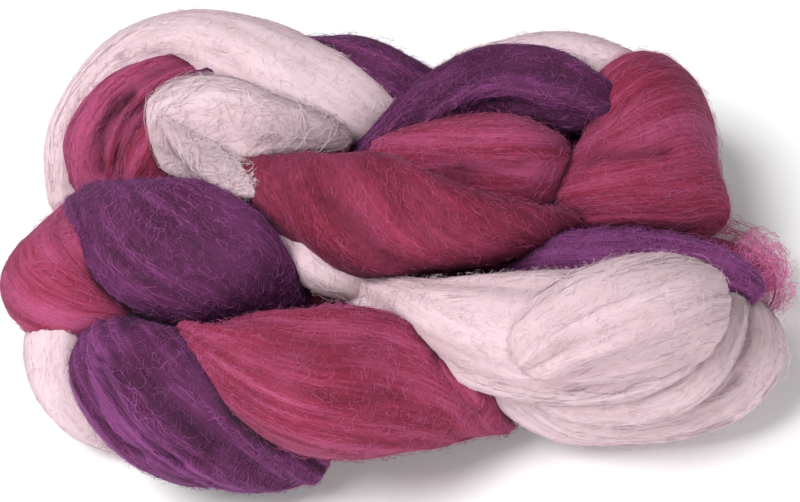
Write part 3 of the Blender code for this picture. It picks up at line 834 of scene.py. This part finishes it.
class Shader:
    """A node material with one Principled shader, whose constants are set on its own sockets."""

    def __init__(self, name, **constants):
        self.material = bpy.data.materials.new(name)
        self.material.use_nodes = True
        self.tree = self.material.node_tree
        self.principled = self.tree.nodes["Principled BSDF"]
        for socket, value in constants.items():
            self.principled.inputs[socket.replace("_", " ")].default_value = value

    def node(self, kind, settings, sockets, output=0):
        """Any node: its settings are put in first, and then the values or links of its sockets."""
        made = self.tree.nodes.new(kind)
        for name, value in settings.items():
            if name == "stops":
                self.set_stops(made.color_ramp, value)
            else:
                setattr(made, name, value)
        for key, value in sockets.items():
            self.join(value, made.inputs[key])
        return Signal(self, made.outputs[output])

    def set_stops(self, ramp, stops):
        while len(ramp.elements) < len(stops):
            ramp.elements.new(0.5)
        for element, (place, colour) in zip(ramp.elements, stops):
            element.position, element.color = place, (*colour, 1.0)

    def join(self, value, socket):
        if isinstance(value, Signal):
            self.tree.links.new(value.socket, socket)
        else:
            socket.default_value = value

    def feed(self, socket, value):
        self.join(value, self.principled.inputs[socket])

    def ramp(self, value, stops):
        """Colours blended between stops, each a place and a colour."""
        return self.node("ShaderNodeValToRGB", {"stops": stops}, {0: value})

    def uv(self):
        return self.node("ShaderNodeUVMap", {"uv_map": UV_NAME}, {})

    def attribute(self, name):
        return self.node("ShaderNodeAttribute", {"attribute_name": name}, {}, output=2)

    def cloud(self, vector, scales, detail=2.0):
        """Noise with this many cells to the metre along each axis."""
        scaled = self.node("ShaderNodeMapping", {}, {"Vector": vector, "Scale": scales})
        return self.node("ShaderNodeTexNoise", {}, {"Vector": scaled, "Scale": 1.0, "Detail": detail})

    def mix(self, share, a, b):
        settings = {"data_type": "RGBA", "clamp_factor": True}
        return self.node("ShaderNodeMix", settings, {0: share, 6: a, 7: b}, output=2)

    def painted_crease_shade(self, colour, dye, share):
        """Painted shade: a colour taken towards the dye's shadow colour where the depth attribute says it
        lies in a crease or groove.
        """
        depth = self.attribute(SHADE_DEPTH_NAME)
        return self.mix((depth**1.4) * share, colour, (*DYES[dye].shadow, 1.0))


def tinted(colour, towards, share):
    """A colour moved a share of the way to another."""
    return tuple(a * (1 - share) + b * share for a, b in zip(colour, towards))


Shades = namedtuple("Shades", "dark own light haze")


def shades(dye, gain=1.0):
    """The shades of one dye, from the sidebar's settings, times gain."""
    dyes = bpy.context.scene.roving_dyes
    own, haze = (tuple(c * gain for c in getattr(dyes, name)) for name in (dye, f"{dye}_haze"))
    return Shades(tinted(own, DYES[dye].shadow, DYES[dye].dark), own, tinted(own, haze, 0.5), haze)


def wool(dye, name, **constants):
    """A matt material with the soft sheen of the dye's fibres at grazing angles."""
    sheen = bpy.context.scene.roving_fibres.sheen
    return Shader(name, Sheen_Weight=sheen, Sheen_Tint=(*DYES[dye].rim, 1.0), **constants)


def wool_skin(dye, name, crease, gain=1.0):
    """Streaks that run along the fibres, from noise stretched 16 or 20 to 1 on the flow map and from
    the tone attribute, with clouds of lighter wool over them, and a bump of fine fibre lines."""
    shade = shades(dye, gain)
    shader = wool(dye, name, Sheen_Roughness=0.45, Specular_IOR_Level=0.2)
    flow = shader.uv()
    broad = shader.cloud(flow, (26.0, 420.0, 1.0), 3.0)
    fine = shader.cloud(flow, (110.0, 2200.0, 1.0), 3.0)
    patches = shader.cloud(flow, (55.0, 90.0, 1.0), 4.0)
    lightness = broad * 0.5 + fine * 0.5 + (shader.attribute(TONE_NAME) - 0.5) * SKIN_STREAK
    colour = shader.ramp(lightness, ((0.34, shade.dark), (0.52, shade.own), (0.72, shade.light)))
    softened = shader.mix((patches - 0.42) * 1.1, colour, (*shade.light, 1.0))
    lines = {"Strength": 0.6, "Distance": 0.0004, "Height": broad * 0.6 + fine * 0.4}
    # Painted shade: the colour goes towards the dye's shadow colour in creases and grooves, by the depth
    # attribute.
    shader.feed("Base Color", shader.painted_crease_shade(softened, dye, crease))
    shader.feed("Roughness", 0.95 - fine * 0.2)
    shader.feed("Normal", shader.node("ShaderNodeBump", {}, lines))
    return shader.material


def wool_strand(dye, name, stops, crease):
    """A strand's own tint, read from the second number of its map, with slow changes along it."""
    shader = wool(dye, name, Roughness=0.85, Sheen_Roughness=0.4, Specular_IOR_Level=0.25)
    place = shader.uv()
    own = shader.node("ShaderNodeSeparateXYZ", {}, {0: place}, output=1)
    along = shader.cloud(place, (120.0, 40.0, 1.0))
    colour = shader.ramp((own * 0.8 + along * 0.4 - 0.1).clamped(), stops)
    # Painted shade: the colour goes towards the dye's shadow colour in creases and grooves, by the depth
    # attribute.
    shader.feed("Base Color", shader.painted_crease_shade(colour, dye, crease))
    return shader.material


def finished(piece, node):
    """Rides on the hank's body and stands for its solid, which it hides."""
    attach(piece, "root")
    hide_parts(node)
    return piece


def cover_lays(dye, name, material, rng, *layers):
    """One piece of the fibres on every lay of a dye. Each layer is a kind of fibre, its share of the
    usual number, and a table of the lays that have more or less of it."""
    parts = Parts()
    for lay in lays_of(dye):
        for kind, share, by_lay in layers:
            add_fibres(parts, FORMS[lay], kind, rng, share * by_lay.get(lay, 1.0))
    finished(parts.made(name, material), HANK)


def colour(name, description, *default):
    """A setting of a colour."""
    limits = {"subtype": "COLOR", "size": 3, "min": 0, "max": 1}
    return FloatVectorProperty(name=name, description=description, default=default, **limits)


def share(name, description, default=1.0):
    """A setting from 0 to 1."""
    limits = {"subtype": "FACTOR", "min": 0, "max": 1}
    return FloatProperty(name=name, description=description, default=default, **limits)


class RovingDyes(bpy.types.PropertyGroup):
    """The dyes' own colours, and the lighter colour that each takes where its fibres catch the light."""

    pink: colour("Pink", "Colour of the pale pink wool", 0.58, 0.435, 0.475)
    pink_haze: colour("Pink haze", "Colour of its finest fibres", 0.66, 0.52, 0.56)
    raspberry: colour("Raspberry", "Colour of the raspberry wool", 0.195, 0.0145, 0.040)
    raspberry_haze: colour("Raspberry haze", "Colour of its finest fibres", 0.44, 0.09, 0.215)
    purple: colour("Purple", "Colour of the purple wool", 0.062, 0.0085, 0.042)
    purple_haze: colour("Purple haze", "Colour of its finest fibres", 0.30, 0.075, 0.26)


class RovingFibres(bpy.types.PropertyGroup):
    """How fine the skins are, and how many fibres lie on them."""

    grid: FloatProperty(
        name="Skin step", description="Distance between a skin's points across its fibres",
        unit="LENGTH", default=0.0012, min=0.0006,
    )
    strands: share("Strands", "Share of the usual number of strands")
    frizz: share("Frizz", "Share of the usual number of frizzy fibres")
    fuzz: share("Fuzz", "Share of the usual number of short fibres that stand up")
    flyaways: share("Flyaways", "Share of the usual number of fibres that stand off")
    sheen: share("Sheen", "Strength of the soft light at grazing angles", 0.20)


class RovingStage(bpy.types.PropertyGroup):
    """The camera, the lights and the floor."""

    elevation: FloatProperty(
        name="Camera elevation", description="Height of the camera above the horizon",
        subtype="ANGLE", default=np.radians(52.0),
    )
    distance: FloatProperty(
        name="Camera distance", description="From the camera to the middle of the hank",
        unit="LENGTH", default=1.15,
    )
    lens: FloatProperty(name="Lens", description="Focal length", unit="CAMERA", default=172.5)
    aim: FloatVectorProperty(
        name="Aim", description="The point that the camera looks at", unit="LENGTH", size=3,
        default=tuple(MM * (a + b) for a, b in zip(AIM, SHIFT)),
    )
    key: FloatProperty(
        name="Key light", description="Power of the soft light above", unit="POWER", default=19.0
    )
    fill: FloatProperty(
        name="Fill light", description="Power of the weak light in front", unit="POWER", default=9.0
    )
    sky: FloatProperty(name="Sky", description="Strength of the even light all round", default=0.3)
    floor: colour("Floor", "Colour of the floor", 0.93, 0.93, 0.93)


class ROVING_OT_skins(bpy.types.Operator):
    """Make the skins of all the lays, one piece for each dye."""

    bl_idname = "roving.skins"
    bl_label = "Sliver skins"

    def execute(self, context):
        for dye, finish in DYES.items():
            parts = Parts()
            for name in lays_of(dye):
                add_skin(parts, FORMS[name])
            material = wool_skin(dye, f"{dye}_skin", finish.crease)
            finished(parts.made(f"{dye}_sliver", material), HANK)
        return {"FINISHED"}


class ROVING_OT_rope(bpy.types.Operator):
    """Make the twisted rope inside the hank, painted all in its dyes' shadow colour as shade, which shows in
    the creases between the lays.
    """

    bl_idname = "roving.rope"
    bl_label = "Inner rope"

    def execute(self, context):
        for number, dye in enumerate(ROPE_DYES):
            parts = Parts()
            add_rope(parts, number)
            material = bpy.data.materials[f"{dye}_skin"]
            finished(parts.made(f"inner_strand_{number + 1}", material), HANK)
        return {"FINISHED"}


class ROVING_OT_strands(bpy.types.Operator):
    """Lay strands along the fibres of every lay."""

    bl_idname = "roving.strands"
    bl_label = "Strands"

    def execute(self, context):
        rng = np.random.default_rng(SEEDS["strands"])
        looks = context.scene.roving_fibres
        for dye, finish in DYES.items():
            shade = shades(dye)
            stops = ((0.0, shade.dark), (0.5, shade.own), (1.0, shade.light))
            material = wool_strand(dye, f"{dye}_strands", stops, finish.crease)
            cover_lays(dye, f"{dye}_strands", material, rng, (STRAND, looks.strands, {}))
        return {"FINISHED"}


class ROVING_OT_frizz(bpy.types.Operator):
    """Scatter short frizzy fibres that cross the strands."""

    bl_idname = "roving.frizz"
    bl_label = "Frizz"

    def execute(self, context):
        rng = np.random.default_rng(SEEDS["frizz"])
        looks = context.scene.roving_fibres
        for dye, finish in DYES.items():
            shade = shades(dye)
            stops = ((0.0, shade.own), (0.35, shade.light), (1.0, shade.haze))
            material = wool_strand(dye, f"{dye}_frizz", stops, finish.crease)
            cover_lays(dye, f"{dye}_frizz", material, rng, (FRIZZ, looks.frizz * finish.frizz, {}))
        return {"FINISHED"}


class ROVING_OT_fuzz(bpy.types.Operator):
    """Stand short fuzz and a few longer flyaways on every lay."""

    bl_idname = "roving.fuzz"
    bl_label = "Fuzz and flyaways"

    def execute(self, context):
        rng = np.random.default_rng(SEEDS["fuzz"])
        looks = context.scene.roving_fibres
        layers = (FUZZ, looks.fuzz, FUZZ_SHARE), (FLYAWAY, looks.flyaways, {})
        for dye in DYES:
            cover_lays(dye, f"{dye}_fuzz", bpy.data.materials[f"{dye}_frizz"], rng, *layers)
        return {"FINISHED"}


class ROVING_OT_loose_ends(bpy.types.Operator):
    """Make the two torn-off ends, each a thin tuft with fibres on it."""

    bl_idname = "roving.loose_ends"
    bl_label = "Loose ends"

    def execute(self, context):
        rng = np.random.default_rng(SEEDS["loose_ends"])
        for name, finish in FINISHES.items():
            form, lock = FORMS[name], FORMS[finish.lock]
            dye = form.dye
            skin, fluff = Parts(), Parts()
            add_skin(skin, form, finish.body)
            add_skin(skin, lock, finish.lock_body)
            # gain lightens or darkens these colours against the hank's: on the pink end painted shade, on
            # the raspberry end partly painted light.
            material = wool_skin(dye, f"{name}_skin", finish.crease, finish.gain)
            tuft = finished(skin.made(f"{name}_tuft", material), name)
            for kind in finish.kinds:
                add_fibres(fluff, form, kind, rng)
                add_fibres(fluff, lock, kind, rng, finish.lock_density)
            stops = ((0.0, getattr(shades(dye, finish.gain), finish.root)), (1.0, finish.tip))
            material = wool_strand(dye, f"{name}_fibres", stops, finish.crease)
            cover = finished(fluff.made(f"{name}_fibres", material), name)
        return {"FINISHED"}


def soft_light(name, place, aim, size, power):
    """A round area light at a place, turned towards its aim."""
    lamp = bpy.data.lights.new(name, "AREA")
    lamp.shape, lamp.size, lamp.energy = "DISK", size, power
    made = bpy.data.objects.new(name, lamp)
    made.location = place
    made.rotation_euler = (Vector(aim) - Vector(place)).to_track_quat("-Z", "Y").to_euler()
    bpy.context.scene.collection.objects.link(made)


class ROVING_OT_stage(bpy.types.Operator):
    """Put up the camera, the floor and the lights."""

    bl_idname = "roving.stage"
    bl_label = "Stage"

    def execute(self, context):
        scene, stage = context.scene, context.scene.roving_stage
        aim = Vector(stage.aim)
        camera = bpy.data.objects.new("camera", bpy.data.cameras.new("camera"))
        camera.data.lens = stage.lens
        away = Vector((0.0, -np.cos(stage.elevation), np.sin(stage.elevation)))
        camera.location = aim + stage.distance * away
        camera.rotation_euler = (np.pi / 2 - stage.elevation, 0.0, 0.0)
        scene.collection.objects.link(camera)
        scene.camera = camera

        side = FLOOR_SIDE / 2
        corners = np.array([(-side, -side, 0), (side, -side, 0), (side, side, 0), (-side, side, 0)])
        paper = Shader("floor_paper", Roughness=0.9, Specular_IOR_Level=0.1)
        grain = paper.cloud(paper.node("ShaderNodeTexCoord", {}, {}, output=3), (600.0, 600.0, 600.0))
        white = tuple(stage.floor)
        paper.feed("Base Color", paper.ramp(grain, ((0.0, tinted(white, (0, 0, 0), 0.01)), (1.0, white))))
        face = np.array([[0, 1, 2, 3]])
        floor = mesh_object("floor", corners, [face], [corners[face][..., :2]], paper.material)

        soft_light("key_light", (-0.55, -0.25, 1.05), aim, size=0.75, power=stage.key)
        soft_light("fill_light", (0.5, -1.1, 0.5), aim, size=1.0, power=stage.fill)
        world = bpy.data.worlds.new("even_light")
        scene.world = world
        world.use_nodes = True
        sky = world.node_tree.nodes["Background"]
        sky.inputs["Color"].default_value = (1.0, 1.0, 1.0, 1.0)
        sky.inputs["Strength"].default_value = stage.sky
        scene.view_settings.view_transform = "Standard"
        return {"FINISHED"}


OPERATORS = (
    ROVING_OT_skins,
    ROVING_OT_rope,
    ROVING_OT_strands,
    ROVING_OT_frizz,
    ROVING_OT_fuzz,
    ROVING_OT_loose_ends,
    ROVING_OT_stage,
)
GROUPS = {"roving_dyes": RovingDyes, "roving_fibres": RovingFibres, "roving_stage": RovingStage}


class ROVING_PT_panel(bpy.types.Panel):
    """The sidebar panel, with the settings and one button for each step."""

    bl_idname = "ROVING_PT_panel"
    bl_label = "Roving hank"
    bl_space_type = "VIEW_3D"
    bl_region_type = "UI"
    bl_category = "Roving"

    def draw(self, context):
        for group in GROUPS:
            box = self.layout.box()
            settings = getattr(context.scene, group)
            for name in settings.bl_rna.properties.keys():
                if name not in ("rna_type", "name"):
                    box.prop(settings, name)
        for operator in OPERATORS:
            self.layout.operator(operator.bl_idname)


CLASSES = (*GROUPS.values(), *OPERATORS, ROVING_PT_panel)


def register():
    for made in CLASSES:
        bpy.utils.register_class(made)
    for name, group in GROUPS.items():
        setattr(bpy.types.Scene, name, PointerProperty(type=group))


def unregister():
    for name in GROUPS:
        delattr(bpy.types.Scene, name)
    for made in reversed(CLASSES):
        bpy.utils.unregister_class(made)


def main():
    register()
    bpy.ops.roving.stage()
    bpy.ops.roving.skins()
    bpy.ops.roving.rope()
    bpy.ops.roving.strands()
    bpy.ops.roving.frizz()
    bpy.ops.roving.fuzz()
    bpy.ops.roving.loose_ends()


if __name__ == "__main__":
    main()
